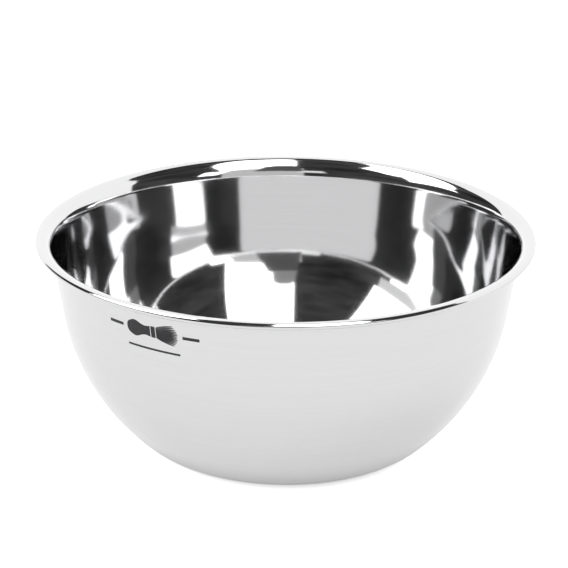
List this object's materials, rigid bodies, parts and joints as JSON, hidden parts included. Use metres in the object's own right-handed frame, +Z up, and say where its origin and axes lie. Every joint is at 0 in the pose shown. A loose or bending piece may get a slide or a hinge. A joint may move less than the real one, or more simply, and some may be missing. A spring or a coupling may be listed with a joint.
{
  "type": "shaving bowl",
  "caption": "Round polished steel bowl for whipping shaving lather with a brush, with a flat foot, a flared and hemmed rim and a small dark print on its wall.",
  "frame": {"origin": "middle of the flat foot's underside, on the surface that the bowl stands on", "axes": "+Z up along the bowl's axis, out of its mouth; -Y is the front, and the print is on the wall between -Y and -X"},
  "size_m": [0.12, 0.12, 0.0528],
  "materials": {
    "polished_steel": "mirror-polished stainless steel",
    "rim_steel": "mirror-polished stainless steel, folded edge",
    "print_ink": "dark pad-printed ink"
  },
  "bodies": {
    "root": {"bowl_shell": "polished_steel", "rolled_rim": "rim_steel", "printed_brush": "print_ink", "printed_rule_left": "print_ink", "printed_rule_right": "print_ink", "printed_rule_below": "print_ink"}
  },
  "joints": []
}
